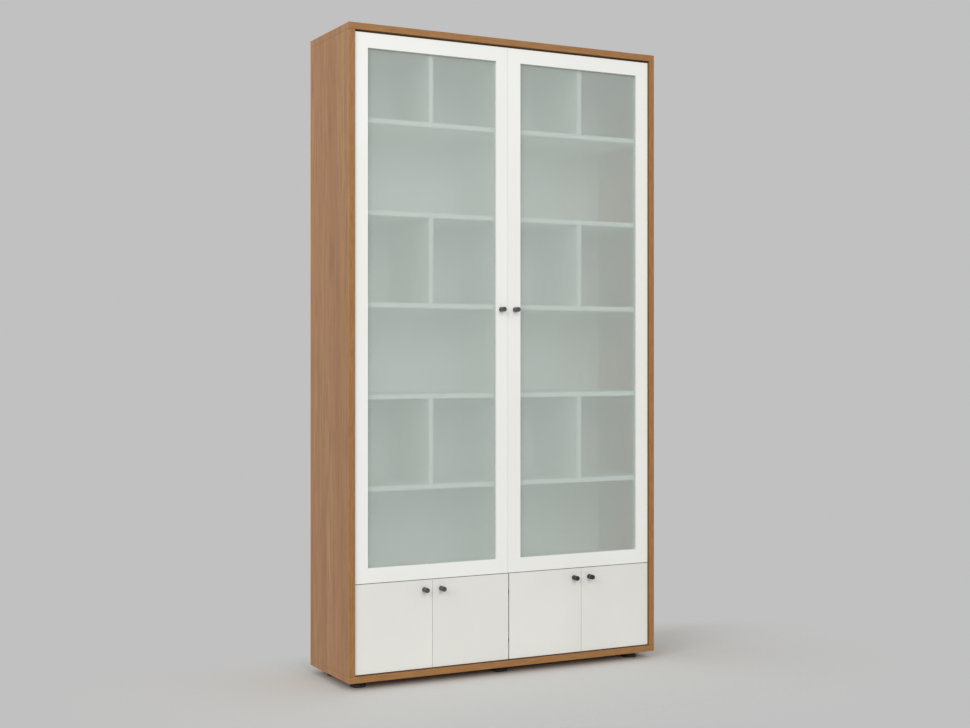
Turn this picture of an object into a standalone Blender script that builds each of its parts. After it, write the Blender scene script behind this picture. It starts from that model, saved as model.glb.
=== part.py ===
"""Tall office cabinet with two glazed doors over four small doors.

A wood case of four boards holds a centre partition, fixed shelves, ten shelves and six upright dividers.
Every door is set inside the case and turns on hinge pins that stand just behind its front face.
Metres, +Z up, the front faces -Y. The origin is on the floor, under the middle of the whole cabinet.
"""

import math

import bmesh
import bpy
from mathutils import Vector

# Case
CASE_WIDTH = 1.200
CASE_HEIGHT = 2.173
CASE_DEPTH = 0.350
CASE_BOARD = 0.022
BACK_BOARD = 0.008
BACK_REBATE = 0.010

# Inside boards
PARTITION_BOARD = 0.018
FIXED_SHELF_BOARD = 0.022
SHELF_BOARD = 0.016
SHELF_COUNT = 5
LOWER_ROOM = 0.2905
TOP_ROW_ROOM = 0.283
DIVIDER_FROM_WALL = 0.2905
DIVIDED_ROWS = (1, 3, 5)

# Doors
DOOR_THICKNESS = 0.020
DOOR_RECESS = 0.0065
TOP_GAP = 0.0065
BOTTOM_GAP = 0.003
ROW_GAP = 0.0023
MEETING_GAP = 0.0010
TALL_MEETING_GAP = 0.0006
TALL_SEAM_OFFSET = 0.004
PANE_OFFSET = 0.0015
STILE_WIDTH = 0.0475
RAIL_WIDTH = 0.050
GLASS_SETBACK = 0.009
GLASS_THICKNESS = 0.004
GLASS_LAP = 0.006

# Hinges
AXIS_INSET = 0.0075
CORNER_CLEARANCE = 0.0005
BACK_TO_BACK_CLEARANCE = 0.001
SWING_CLEARANCE = 0.0017
PIN_RADIUS = 0.0025
PIN_SKIN = 0.0022
PIN_LENGTH = 0.026
LEAF_FROM_AXIS = 0.0017
LEAF_THICKNESS = 0.0025
LEAF_HEIGHT = 0.012
ARM_HEIGHT = 0.018
ARM_LENGTH = 0.050
ARM_SETBACK = 0.006
ARM_CHAMFER = 0.003
PLATE_THICKNESS = 0.003
PLATE_HEIGHT = 0.052
PLATE_WIDTH = 0.020
PLATE_CHAMFER = 0.005
CUP_RADIUS = 0.0175
CUP_DEPTH = 0.011
CUP_WALL = 0.003
OUTER_HINGE_FROM_BOARD = 0.095
INNER_HINGE_FROM_SHELF = 0.045
SMALL_HINGE_FROM_END = 0.065

# Knobs
KNOB_LENGTH = 0.028
KNOB_RADIUS = 0.0084
KNOB_WAIST_RADIUS = 0.0074
KNOB_BASE_LENGTH = 0.0075
KNOB_HEAD_LENGTH = 0.0125
KNOB_WAIST_SLOPE = 0.003
KNOB_EDGE = 0.0016
KNOB_STUD_RADIUS = 0.002
KNOB_STUD_LENGTH = 0.010
TALL_KNOB_FROM_EDGE = 0.027
SMALL_KNOB_FROM_EDGE = 0.031
TALL_KNOB_HEIGHT = 0.913
SMALL_KNOB_DROP = 0.032

# Feet
FOOT_HEIGHT = 0.027
FOOT_RADIUS = 0.027
FOOT_NECK_RADIUS = 0.0245
FOOT_EDGE = 0.0025
FOOT_BASE_HEIGHT = 0.011
FOOT_PEG_RADIUS = 0.005
FOOT_PEG_LENGTH = 0.014
FOOT_FROM_SIDE = 0.062
FOOT_FROM_FRONT = 0.074

# Fits and edges
FIT_GAP = 0.0003
CASE_EDGE = 0.0005
INSIDE_EDGE = 0.0006
DOOR_EDGE = 0.0007
EDGE_STEPS = 1
ROUND_STEPS = 24
BORE_STEPS = 16
CUT_PAST = 0.004

# Colour, roughness and metallic value of each finish
FINISHES = {
    "wood laminate": ((0.624, 0.467, 0.337), 0.45, 0.0),
    "white board": ((0.890, 0.895, 0.880), 0.50, 0.0),
    "white lacquer": ((0.920, 0.922, 0.905), 0.35, 0.0),
    "frosted glass": ((0.720, 0.770, 0.750), 0.55, 0.0),
    "dark metal": ((0.235, 0.235, 0.225), 0.40, 0.6),
    "black plastic": ((0.060, 0.060, 0.062), 0.55, 0.0),
    "nickel steel": ((0.740, 0.735, 0.720), 0.30, 1.0),
}

# Places that follow from the sizes above
knob_reach = KNOB_LENGTH + FIT_GAP - DOOR_RECESS
front_y = -(CASE_DEPTH - knob_reach) / 2
rear_y = front_y + CASE_DEPTH
back_face_y = rear_y - BACK_BOARD
door_face_y = front_y + DOOR_RECESS
door_back_y = door_face_y + DOOR_THICKNESS
axis_depth = PIN_RADIUS + FIT_GAP + PIN_SKIN
axis_y = door_face_y + axis_depth
swing_radius = math.hypot(AXIS_INSET, DOOR_THICKNESS - axis_depth)
inner_front_y = axis_y + swing_radius + SWING_CLEARANCE
inner_rear_y = back_face_y - FIT_GAP

case_left = -CASE_WIDTH / 2
case_right = CASE_WIDTH / 2
wall_left = case_left + CASE_BOARD
wall_right = case_right - CASE_BOARD
partition_left = -PARTITION_BOARD / 2
partition_right = PARTITION_BOARD / 2

case_bottom = FOOT_HEIGHT
case_top = FOOT_HEIGHT + CASE_HEIGHT
floor_z = case_bottom + CASE_BOARD
ceiling_z = case_top - CASE_BOARD
fixed_shelf_bottom = floor_z + LOWER_ROOM
fixed_shelf_top = fixed_shelf_bottom + FIXED_SHELF_BOARD
shelf_pitch = (ceiling_z - TOP_ROW_ROOM - fixed_shelf_top) / SHELF_COUNT
row_gap_z = (fixed_shelf_bottom + fixed_shelf_top) / 2

corner_swing = math.hypot(AXIS_INSET, axis_depth) - AXIS_INSET
side_gap = corner_swing + CORNER_CLEARANCE
centre_gap = 2 * corner_swing + BACK_TO_BACK_CLEARANCE
lower_door_bottom = floor_z + BOTTOM_GAP
lower_door_top = row_gap_z - ROW_GAP / 2
tall_door_bottom = row_gap_z + ROW_GAP / 2
tall_door_top = ceiling_z - TOP_GAP
tall_knob_z = tall_door_bottom + TALL_KNOB_HEIGHT
small_knob_z = lower_door_top - SMALL_KNOB_DROP

# The hinge leaf runs beside its pin's axis, on the side away from the door's hinged edge
leaf_outer = LEAF_FROM_AXIS + LEAF_THICKNESS

# How far a rounded edge's middle lies in from the corner, as a share of its radius
ROUND_MIDDLE = 1 - math.sqrt(0.5)


def shelf_top(number):
    """Height of a shelf's top face. Shelf 1 is the highest."""
    return ceiling_z - TOP_ROW_ROOM - (number - 1) * shelf_pitch


def clear_scene():
    for obj in list(bpy.data.objects):
        bpy.data.objects.remove(obj, do_unlink=True)


def linear(value):
    if value <= 0.04045:
        return value / 12.92
    return ((value + 0.055) / 1.055) ** 2.4


def finish_material(name, finish):
    colour, roughness, metallic = FINISHES[finish]
    material = bpy.data.materials.new(name + "_finish")
    material.use_nodes = True
    shader = material.node_tree.nodes["Principled BSDF"]
    shader.inputs["Base Color"].default_value = [linear(value) for value in colour] + [1.0]
    shader.inputs["Roughness"].default_value = roughness
    shader.inputs["Metallic"].default_value = metallic
    return material


def mesh_from(bm, name):
    bmesh.ops.recalc_face_normals(bm, faces=bm.faces)
    mesh = bpy.data.meshes.new(name)
    bm.to_mesh(mesh)
    bm.free()
    return mesh


def box_mesh(name, low, high):
    bm = bmesh.new()
    bmesh.ops.create_cube(bm, size=1.0)
    low, high = Vector(low), Vector(high)
    bmesh.ops.scale(bm, vec=high - low, verts=bm.verts)
    bmesh.ops.translate(bm, vec=(low + high) / 2, verts=bm.verts)
    return mesh_from(bm, name)


def prism_mesh(name, outline, low_z, high_z):
    """An upright solid on an outline of (x, y) points."""
    bm = bmesh.new()
    face = bm.faces.new([bm.verts.new((x, y, low_z)) for x, y in outline])
    raised = bmesh.ops.extrude_face_region(bm, geom=[face])["geom"]
    tops = [item for item in raised if isinstance(item, bmesh.types.BMVert)]
    bmesh.ops.translate(bm, vec=(0, 0, high_z - low_z), verts=tops)
    return mesh_from(bm, name)


def turned_mesh(name, profile, steps=ROUND_STEPS):
    """A solid turned about +Z from (radius, height) points that start and end on the axis."""
    bm = bmesh.new()
    rings = []
    for radius, height in profile:
        if radius == 0:
            rings.append([bm.verts.new((0, 0, height))])
            continue
        turns = [2 * math.pi * step / steps for step in range(steps)]
        rings.append([bm.verts.new((radius * math.cos(a), radius * math.sin(a), height)) for a in turns])
    for lower, upper in zip(rings, rings[1:]):
        for step in range(steps):
            after = (step + 1) % steps
            corners = [lower[step % len(lower)], lower[after % len(lower)]]
            corners += [upper[after % len(upper)], upper[step % len(upper)]]
            bm.faces.new(list(dict.fromkeys(corners)))
    return mesh_from(bm, name)


def turn_to_front(mesh):
    """Lays a turned solid down, so that its +Z end points to the front."""
    for vertex in mesh.vertices:
        x, y, z = vertex.co
        vertex.co = (x, -z, y)
    mesh.update()
    return mesh


def frame_mesh(name, low_x, high_x, low_z, high_z, pane_low_x, pane_high_x):
    """A door frame round a pane opening, with eased edges and a rebate at its back. Its front is at y 0."""
    seat_y = GLASS_SETBACK - FIT_GAP
    arris = DOOR_EDGE * ROUND_MIDDLE
    outer = [(DOOR_EDGE, 0), (arris, arris), (0, DOOR_EDGE)]
    outer += [(0, DOOR_THICKNESS - DOOR_EDGE), (arris, DOOR_THICKNESS - arris), (DOOR_EDGE, DOOR_THICKNESS)]
    inner = [(GLASS_LAP, DOOR_THICKNESS), (GLASS_LAP, seat_y), (0, seat_y)]
    inner += [(0, DOOR_EDGE), (arris, arris), (DOOR_EDGE, 0)]
    bm = bmesh.new()
    rings = []
    for inset, y in outer:
        rings.append(rectangle(bm, low_x + inset, high_x - inset, low_z + inset, high_z - inset, y))
    for out, y in inner:
        rail = RAIL_WIDTH - out
        rings.append(rectangle(bm, pane_low_x - out, pane_high_x + out, low_z + rail, high_z - rail, y))
    for ring, following in zip(rings, rings[1:] + rings[:1]):
        for corner in range(4):
            after = (corner + 1) % 4
            bm.faces.new([ring[corner], ring[after], following[after], following[corner]])
    return mesh_from(bm, name)


def rectangle(bm, low_x, high_x, low_z, high_z, y):
    corners = ((low_x, low_z), (high_x, low_z), (high_x, high_z), (low_x, high_z))
    return [bm.verts.new((x, y, z)) for x, z in corners]


def add_object(name, mesh, finish, origin, parent=None):
    """Adds a sub-part whose mesh is written about its origin."""
    obj = bpy.data.objects.new(name, mesh)
    bpy.context.scene.collection.objects.link(obj)
    obj.data.materials.append(finish_material(name, finish))
    obj.location = Vector(origin)
    if parent:
        obj.parent = parent
        obj.location = Vector(origin) - parent.location
    return obj


def add_axis(name, x, z):
    """An empty on a door's hinge axis, which carries everything on that door."""
    axis = bpy.data.objects.new(name, None)
    bpy.context.scene.collection.objects.link(axis)
    axis.location = (x, axis_y, z)
    axis.empty_display_size = 0.05
    return axis


def add_cutter(name, mesh, origin, parent=None):
    cutter = bpy.data.objects.new(name, mesh)
    bpy.context.scene.collection.objects.link(cutter)
    cutter.location = Vector(origin)
    if parent:
        cutter.parent = parent
        cutter.location = Vector(origin) - parent.location
    cutter.hide_render = True
    cutter.display_type = "WIRE"
    return cutter


def combine(obj, other, operation):
    boolean = obj.modifiers.new(operation.lower() + " " + other.name, "BOOLEAN")
    boolean.operation = operation
    boolean.solver = "EXACT"
    boolean.object = other


def soften(obj, width):
    bevel = obj.modifiers.new("eased edges", "BEVEL")
    bevel.width = width
    bevel.segments = EDGE_STEPS
    bevel.limit_method = "ANGLE"


def round_off(obj):
    obj.data.shade_smooth()
    obj.data.set_sharp_from_angle(angle=math.radians(35))


def joined_mesh(name, meshes):
    """One closed solid from overlapping ones."""
    parts = [add_cutter(name + " stage", mesh, (0, 0, 0)) for mesh in meshes]
    for other in parts[1:]:
        combine(parts[0], other, "UNION")
    evaluated = parts[0].evaluated_get(bpy.context.evaluated_depsgraph_get())
    mesh = bpy.data.meshes.new_from_object(evaluated)
    mesh.name = name
    for part in parts:
        bpy.data.objects.remove(part, do_unlink=True)
    return mesh


def add_board(name, low, high, finish, edge, parent=None, origin=None):
    """A flat board between two corners, about its own middle unless an origin is given."""
    middle = (Vector(low) + Vector(high)) / 2 if origin is None else Vector(origin)
    mesh = box_mesh(name, Vector(low) - middle, Vector(high) - middle)
    board = add_object(name, mesh, finish, middle, parent)
    soften(board, edge)
    return board


def build_case():
    """Two sides between a top and a bottom that run the full width, and a back set in the sides."""
    side_low, side_high = floor_z + FIT_GAP, ceiling_z - FIT_GAP
    for name, low_x, high_x, open_x in (
        ("left_side", case_left, wall_left, wall_left),
        ("right_side", wall_right, case_right, wall_right),
    ):
        low, high = (low_x, front_y, side_low), (high_x, rear_y, side_high)
        side = add_board(name, low, high, "wood laminate", CASE_EDGE)
        rebate_low = (open_x - BACK_REBATE, inner_rear_y, side_low - CUT_PAST)
        rebate_high = (open_x + BACK_REBATE, rear_y + CUT_PAST, side_high + CUT_PAST)
        rebate_mesh = box_mesh("rebate", rebate_low, rebate_high)
        combine(side, add_cutter(name + " rebate", rebate_mesh, (0, 0, 0)), "DIFFERENCE")

    low, high = (case_left, front_y, ceiling_z), (case_right, rear_y, case_top)
    add_board("top_panel", low, high, "wood laminate", CASE_EDGE)
    low, high = (case_left, front_y, case_bottom), (case_right, rear_y, floor_z)
    bottom = add_board("bottom_panel", low, high, "wood laminate", CASE_EDGE)

    low = (wall_left - BACK_REBATE + FIT_GAP, back_face_y, floor_z + FIT_GAP)
    high = (wall_right + BACK_REBATE - FIT_GAP, rear_y, ceiling_z - FIT_GAP)
    add_board("back_panel", low, high, "white board", INSIDE_EDGE)
    return bottom


def build_inside():
    """The partition, and in each bay a fixed shelf, shelves and dividers, all set back for the doors."""
    low = (partition_left, inner_front_y, floor_z + FIT_GAP)
    high = (partition_right, inner_rear_y, ceiling_z - FIT_GAP)
    add_board("centre_partition", low, high, "white board", INSIDE_EDGE)
    for side, bay_left, bay_right in (
        ("left", wall_left, partition_left),
        ("right", partition_right, wall_right),
    ):
        low_x, high_x = bay_left + FIT_GAP, bay_right - FIT_GAP
        low, high = (low_x, inner_front_y, fixed_shelf_bottom), (high_x, inner_rear_y, fixed_shelf_top)
        add_board(side + "_fixed_shelf", low, high, "white board", INSIDE_EDGE)
        for number in range(1, SHELF_COUNT + 1):
            top = shelf_top(number)
            low, high = (low_x, inner_front_y, top - SHELF_BOARD), (high_x, inner_rear_y, top)
            add_board(f"{side}_shelf_{number}", low, high, "white board", INSIDE_EDGE)
        for row in DIVIDED_ROWS:
            foot = shelf_top(row) + FIT_GAP
            head = (ceiling_z if row == 1 else shelf_top(row - 1) - SHELF_BOARD) - FIT_GAP
            middle = bay_left + DIVIDER_FROM_WALL
            low = (middle - SHELF_BOARD / 2, inner_front_y, foot)
            high = (middle + SHELF_BOARD / 2, inner_rear_y, head)
            add_board(f"{side}_divider_{row}", low, high, "white board", INSIDE_EDGE)


def foot_mesh():
    top = FOOT_HEIGHT - FIT_GAP
    middle = FOOT_EDGE * ROUND_MIDDLE
    peg_top = top + FOOT_PEG_LENGTH
    profile = [(0, 0), (FOOT_RADIUS - FOOT_EDGE, 0), (FOOT_RADIUS - middle, middle)]
    profile += [(FOOT_RADIUS, FOOT_EDGE), (FOOT_RADIUS, FOOT_BASE_HEIGHT - FOOT_EDGE)]
    profile += [(FOOT_NECK_RADIUS, FOOT_BASE_HEIGHT)]
    profile += [(FOOT_NECK_RADIUS, top), (FOOT_PEG_RADIUS, top), (FOOT_PEG_RADIUS, peg_top), (0, peg_top)]
    return turned_mesh("foot", profile)


def build_feet(bottom):
    """Round glides whose pegs sit in bores of the bottom panel: three in front and three behind."""
    across = (case_left + FOOT_FROM_SIDE, 0, case_right - FOOT_FROM_SIDE)
    along = (("front", front_y + FOOT_FROM_FRONT), ("rear", rear_y - FOOT_FROM_FRONT))
    bore_radius = FOOT_PEG_RADIUS + FIT_GAP
    bore_depth = FOOT_PEG_LENGTH + FIT_GAP
    bore_profile = [(0, -CUT_PAST), (bore_radius, -CUT_PAST), (bore_radius, bore_depth), (0, bore_depth)]
    for row, y in along:
        for place, x in zip(("left", "centre", "right"), across):
            name = f"{row}_{place}_foot"
            foot = add_object(name, foot_mesh(), "black plastic", (x, y, 0))
            round_off(foot)
            bore_mesh = turned_mesh("foot bore", bore_profile, BORE_STEPS)
            combine(bottom, add_cutter(name + " bore", bore_mesh, (x, y, case_bottom)), "DIFFERENCE")


def hinge_mesh(pin_from_wall, hand):
    """Arm, mounting plate and pin of a hinge, about its pin. hand is 1 on a left wall, -1 on a right one."""
    wall = -pin_from_wall * hand
    front = inner_front_y - axis_y
    half_leaf = LEAF_HEIGHT / 2
    arm_start = front + ARM_SETBACK
    arm_middle = arm_start + ARM_LENGTH / 2
    outline = [(0, 0), (leaf_outer, 0), (leaf_outer, arm_middle), (LEAF_FROM_AXIS, arm_middle)]
    outline += [(LEAF_FROM_AXIS, PIN_RADIUS), (0, PIN_RADIUS)]
    leaf = prism_mesh("leaf", [(x * hand, y) for x, y in outline], -half_leaf, half_leaf)

    arm_foot = wall + (FIT_GAP + PLATE_THICKNESS / 2) * hand
    arm_top = leaf_outer * hand
    top_half = ARM_HEIGHT / 2 - ARM_CHAMFER
    outline = [(arm_foot, -ARM_HEIGHT / 2), (arm_top, -top_half)]
    outline += [(arm_top, top_half), (arm_foot, ARM_HEIGHT / 2)]
    arm = prism_mesh("arm", outline, arm_start, arm_start + ARM_LENGTH)
    for vertex in arm.vertices:
        x, z, y = vertex.co
        vertex.co = (x, y, z)
    arm.flip_normals()

    half_width, half_height = PLATE_WIDTH / 2, PLATE_HEIGHT / 2
    outline = [(-half_width, PLATE_CHAMFER - half_height), (PLATE_CHAMFER - half_width, -half_height)]
    outline += [(half_width - PLATE_CHAMFER, -half_height), (half_width, PLATE_CHAMFER - half_height)]
    outline += [(-y, -z) for y, z in outline]
    plate = prism_mesh("plate", outline, FIT_GAP, FIT_GAP + PLATE_THICKNESS)
    for vertex in plate.vertices:
        y, z, x = vertex.co
        vertex.co = (wall + x * hand, arm_middle + y, z)
    if hand < 0:
        plate.flip_normals()

    half_pin = PIN_LENGTH / 2
    pin_profile = [(0, -half_pin), (PIN_RADIUS, -half_pin), (PIN_RADIUS, half_pin), (0, half_pin)]
    return joined_mesh("hinge", [plate, arm, leaf, turned_mesh("pin", pin_profile, BORE_STEPS)])


def hinge_recess_mesh(hand):
    """What a door loses to one hinge: a notch for the leaf, a bore for the pin and a bore for the cup."""
    back = DOOR_THICKNESS - axis_depth
    half_notch = LEAF_HEIGHT / 2 + FIT_GAP
    reach = AXIS_INSET + CUT_PAST
    skin = -PIN_RADIUS - FIT_GAP
    inner = leaf_outer + FIT_GAP
    outline = [(-reach, skin), (inner, skin), (inner, back + CUT_PAST), (-reach, back + CUT_PAST)]
    notch = prism_mesh("notch", [(x * hand, y) for x, y in outline], -half_notch, half_notch)

    half_bore = PIN_LENGTH / 2 + FIT_GAP
    bore_radius = PIN_RADIUS + FIT_GAP
    bore_profile = [(0, -half_bore), (bore_radius, -half_bore), (bore_radius, half_bore), (0, half_bore)]
    bore = turned_mesh("pin bore", bore_profile, BORE_STEPS)

    cup_profile = [(0, -back - CUT_PAST), (CUP_RADIUS, -back - CUT_PAST)]
    cup_profile += [(CUP_RADIUS, CUP_DEPTH - back), (0, CUP_DEPTH - back)]
    cup = turn_to_front(turned_mesh("cup bore", cup_profile))
    for vertex in cup.vertices:
        vertex.co.x += (CUP_WALL + CUP_RADIUS - AXIS_INSET) * hand
    return joined_mesh("hinge recess", [notch, bore, cup])


def knob_mesh():
    """A round knob with a slight waist, about its seat on the door, and the stud that goes into the door."""
    head = KNOB_LENGTH - KNOB_HEAD_LENGTH
    waist_start, waist_end = KNOB_BASE_LENGTH + KNOB_WAIST_SLOPE, head - KNOB_WAIST_SLOPE
    profile = [(0, -KNOB_STUD_LENGTH), (KNOB_STUD_RADIUS, -KNOB_STUD_LENGTH), (KNOB_STUD_RADIUS, 0)]
    profile += [(KNOB_RADIUS - KNOB_EDGE, 0), (KNOB_RADIUS, KNOB_EDGE), (KNOB_RADIUS, KNOB_BASE_LENGTH)]
    profile += [(KNOB_WAIST_RADIUS, waist_start), (KNOB_WAIST_RADIUS, waist_end)]
    profile += [(KNOB_RADIUS, head), (KNOB_RADIUS, KNOB_LENGTH - KNOB_EDGE)]
    profile += [(KNOB_RADIUS - KNOB_EDGE, KNOB_LENGTH), (0, KNOB_LENGTH)]
    return turn_to_front(turned_mesh("knob", profile))


def add_knob(name, door, axis, x, z):
    """A knob near the free edge, and the bore for its stud."""
    knob = add_object(name, knob_mesh(), "dark metal", (x, door_face_y - FIT_GAP, z), axis)
    round_off(knob)
    radius, depth = KNOB_STUD_RADIUS + FIT_GAP, KNOB_STUD_LENGTH
    profile = [(0, -depth), (radius, -depth), (radius, CUT_PAST), (0, CUT_PAST)]
    bore = turn_to_front(turned_mesh("knob bore", profile, BORE_STEPS))
    combine(door, add_cutter(name + " bore", bore, (x, door_face_y, z), axis), "DIFFERENCE")


def add_hinges(prefix, door, axis, wall_x, hand, heights):
    """The hinges of one door on its wall, and their recesses in the door."""
    pin_from_wall = abs(axis.location.x - wall_x)
    mesh = hinge_mesh(pin_from_wall, hand)
    recess_mesh = hinge_recess_mesh(hand)
    for number, z in enumerate(heights, start=1):
        place = (axis.location.x, axis_y, z)
        add_object(f"{prefix}_hinge_{number}", mesh.copy(), "nickel steel", place)
        recess = add_cutter(f"{prefix} hinge recess {number}", recess_mesh, place, axis)
        combine(door, recess, "DIFFERENCE")


def build_tall_door(side, low_x, high_x, pane_low_x, pane_high_x, hand, wall_x):
    """A white frame with a frosted pane on the seat of the deep rebate at its back."""
    hinged_x = low_x if hand > 0 else high_x
    free_x = high_x if hand > 0 else low_x
    axis = add_axis(side + "_door_axis", hinged_x + AXIS_INSET * hand, tall_door_bottom)
    origin = Vector((0, door_face_y, 0))
    ends = (low_x, high_x, tall_door_bottom, tall_door_top)
    mesh = frame_mesh(side + "_door_frame", *ends, pane_low_x, pane_high_x)
    for vertex in mesh.vertices:
        vertex.co += origin - axis.location
    frame = add_object(side + "_door_frame", mesh, "white lacquer", axis.location, axis)

    lap = GLASS_LAP - FIT_GAP
    glass_y = door_face_y + GLASS_SETBACK
    low = (pane_low_x - lap, glass_y, tall_door_bottom + RAIL_WIDTH - lap)
    high = (pane_high_x + lap, glass_y + GLASS_THICKNESS, tall_door_top - RAIL_WIDTH + lap)
    add_board(side + "_door_glass", low, high, "frosted glass", INSIDE_EDGE, axis, axis.location)

    heights = (fixed_shelf_top + OUTER_HINGE_FROM_BOARD, shelf_top(4) + INNER_HINGE_FROM_SHELF)
    heights += (shelf_top(2) - SHELF_BOARD - INNER_HINGE_FROM_SHELF, ceiling_z - OUTER_HINGE_FROM_BOARD)
    add_hinges(side + "_door", frame, axis, wall_x, hand, heights)
    add_knob(side + "_door_knob", frame, axis, free_x - TALL_KNOB_FROM_EDGE * hand, tall_knob_z)


def build_lower_door(number, low_x, high_x, hand, wall_x):
    """A plain white door."""
    name = f"lower_door_{number}"
    hinged_x = low_x if hand > 0 else high_x
    free_x = high_x if hand > 0 else low_x
    axis = add_axis(name + "_axis", hinged_x + AXIS_INSET * hand, lower_door_bottom)
    low, high = (low_x, door_face_y, lower_door_bottom), (high_x, door_back_y, lower_door_top)
    door = add_board(name, low, high, "white lacquer", DOOR_EDGE, axis, axis.location)
    heights = (lower_door_bottom + SMALL_HINGE_FROM_END, lower_door_top - SMALL_HINGE_FROM_END)
    add_hinges(name, door, axis, wall_x, hand, heights)
    add_knob(name + "_knob", door, axis, free_x - SMALL_KNOB_FROM_EDGE * hand, small_knob_z)


def build_doors():
    """The tall doors and their panes meet a little left of the middle, the small doors in mid bay."""
    left_edge, right_edge = wall_left + side_gap, wall_right - side_gap
    half_gap = TALL_MEETING_GAP / 2
    pane_inner, pane_outer = half_gap + STILE_WIDTH, right_edge - STILE_WIDTH
    left_pane = (-pane_outer - PANE_OFFSET, -pane_inner - PANE_OFFSET)
    right_pane = (pane_inner - PANE_OFFSET, pane_outer - PANE_OFFSET)
    build_tall_door("left", left_edge, -TALL_SEAM_OFFSET - half_gap, *left_pane, 1, wall_left)
    build_tall_door("right", -TALL_SEAM_OFFSET + half_gap, right_edge, *right_pane, -1, wall_right)

    half_meeting = MEETING_GAP / 2
    left_bay_middle = (wall_left + partition_left) / 2
    right_bay_middle = (partition_right + wall_right) / 2
    build_lower_door(1, left_edge, left_bay_middle - half_meeting, 1, wall_left)
    build_lower_door(2, left_bay_middle + half_meeting, -centre_gap / 2, -1, partition_left)
    build_lower_door(3, centre_gap / 2, right_bay_middle - half_meeting, 1, partition_right)
    build_lower_door(4, right_bay_middle + half_meeting, right_edge, -1, wall_right)


clear_scene()
case_floor = build_case()
build_inside()
build_feet(case_floor)
build_doors()
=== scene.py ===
"""A tall, shallow office cabinet: wood-look case, two frosted glass doors and four small doors below.

Lengths are in metres, with X to the right, Y to the back and Z up, as in the frame.
"""

import math
import random

import bmesh
import bpy
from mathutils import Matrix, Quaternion, Vector


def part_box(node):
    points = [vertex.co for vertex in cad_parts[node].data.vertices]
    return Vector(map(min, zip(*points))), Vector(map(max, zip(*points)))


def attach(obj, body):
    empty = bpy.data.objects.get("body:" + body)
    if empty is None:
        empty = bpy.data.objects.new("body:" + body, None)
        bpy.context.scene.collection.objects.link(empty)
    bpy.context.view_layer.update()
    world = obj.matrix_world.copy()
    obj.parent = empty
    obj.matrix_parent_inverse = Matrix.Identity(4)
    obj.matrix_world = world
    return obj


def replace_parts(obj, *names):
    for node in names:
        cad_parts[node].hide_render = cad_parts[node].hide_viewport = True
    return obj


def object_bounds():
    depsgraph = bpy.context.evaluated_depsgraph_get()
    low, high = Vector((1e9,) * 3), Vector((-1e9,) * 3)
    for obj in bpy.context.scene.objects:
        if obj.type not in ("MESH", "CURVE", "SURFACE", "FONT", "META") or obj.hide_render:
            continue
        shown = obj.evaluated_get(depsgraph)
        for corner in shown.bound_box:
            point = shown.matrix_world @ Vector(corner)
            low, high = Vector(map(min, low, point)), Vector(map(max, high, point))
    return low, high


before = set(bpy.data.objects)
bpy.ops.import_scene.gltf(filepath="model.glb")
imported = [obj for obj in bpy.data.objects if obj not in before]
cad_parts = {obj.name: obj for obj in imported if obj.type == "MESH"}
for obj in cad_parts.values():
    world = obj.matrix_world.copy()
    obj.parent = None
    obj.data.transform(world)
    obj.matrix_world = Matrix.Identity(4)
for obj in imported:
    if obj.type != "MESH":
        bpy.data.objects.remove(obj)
cad_box = [list(corner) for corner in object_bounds()]

# The viewpoint. The photograph was taken level, 5.3 m off and at half the cabinet's height, from its
# front left, so that the outer face of the left side shows.
CAMERA_PLACE = (-2.471, -4.6891, 1.101)
CAMERA_TURN = math.radians(-27.684)
LENS = 55.23
SENSOR_WIDTH = 36.0
FRAMING_SHIFT = -0.00755


def added(name, data):
    """A new object with this data, at the origin of the scene."""
    item = bpy.data.objects.new(name, data)
    bpy.context.scene.collection.objects.link(item)
    return item


lens = bpy.data.cameras.new("photo_lens")
lens.lens = LENS
lens.sensor_width = SENSOR_WIDTH
lens.shift_y = FRAMING_SHIFT
camera = added("photo_camera", lens)
camera.location = CAMERA_PLACE
camera.rotation_euler = (math.radians(90), 0, CAMERA_TURN)
bpy.context.scene.camera = camera
bpy.context.scene.view_settings.view_transform = "Standard"


# The studio. A pale grey floor that fades into a plain grey background round the cabinet's foot, under
# a very broad soft light from the left, a smaller one from high in front and an even light from all
# round.
class Shade:
    """An output of a node. Arithmetic on it adds Math nodes."""

    def __init__(self, wiring, socket):
        self.wiring = wiring
        self.socket = socket

    def out(self, name):
        """Another output of the same node."""
        return Shade(self.wiring, pick(self.socket.node.outputs, name))

    def maths(self, operation, first, second):
        values = {"Value": first, "Value_001": second}
        return self.wiring.node("ShaderNodeMath", {"operation": operation}, values)

    def __add__(self, other):
        return self.maths("ADD", self, other)

    def __sub__(self, other):
        return self.maths("SUBTRACT", self, other)

    def __rsub__(self, other):
        return self.maths("SUBTRACT", other, self)

    def __mul__(self, other):
        return self.maths("MULTIPLY", self, other)

    def __truediv__(self, other):
        return self.maths("DIVIDE", self, other)

    def __rtruediv__(self, other):
        return self.maths("DIVIDE", other, self)

    def __abs__(self):
        return self.maths("ABSOLUTE", self, 0.0)

    def lower(self, other):
        return self.maths("MINIMUM", self, other)

    def higher(self, other):
        return self.maths("MAXIMUM", self, other)

    __radd__ = __add__
    __rmul__ = __mul__


def pick(sockets, key):
    """The socket with this identifier, or else with this name or number."""
    if isinstance(key, int):
        return sockets[key]
    for socket in sockets:
        if socket.identifier == key:
            return socket
    return sockets[key]


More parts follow.
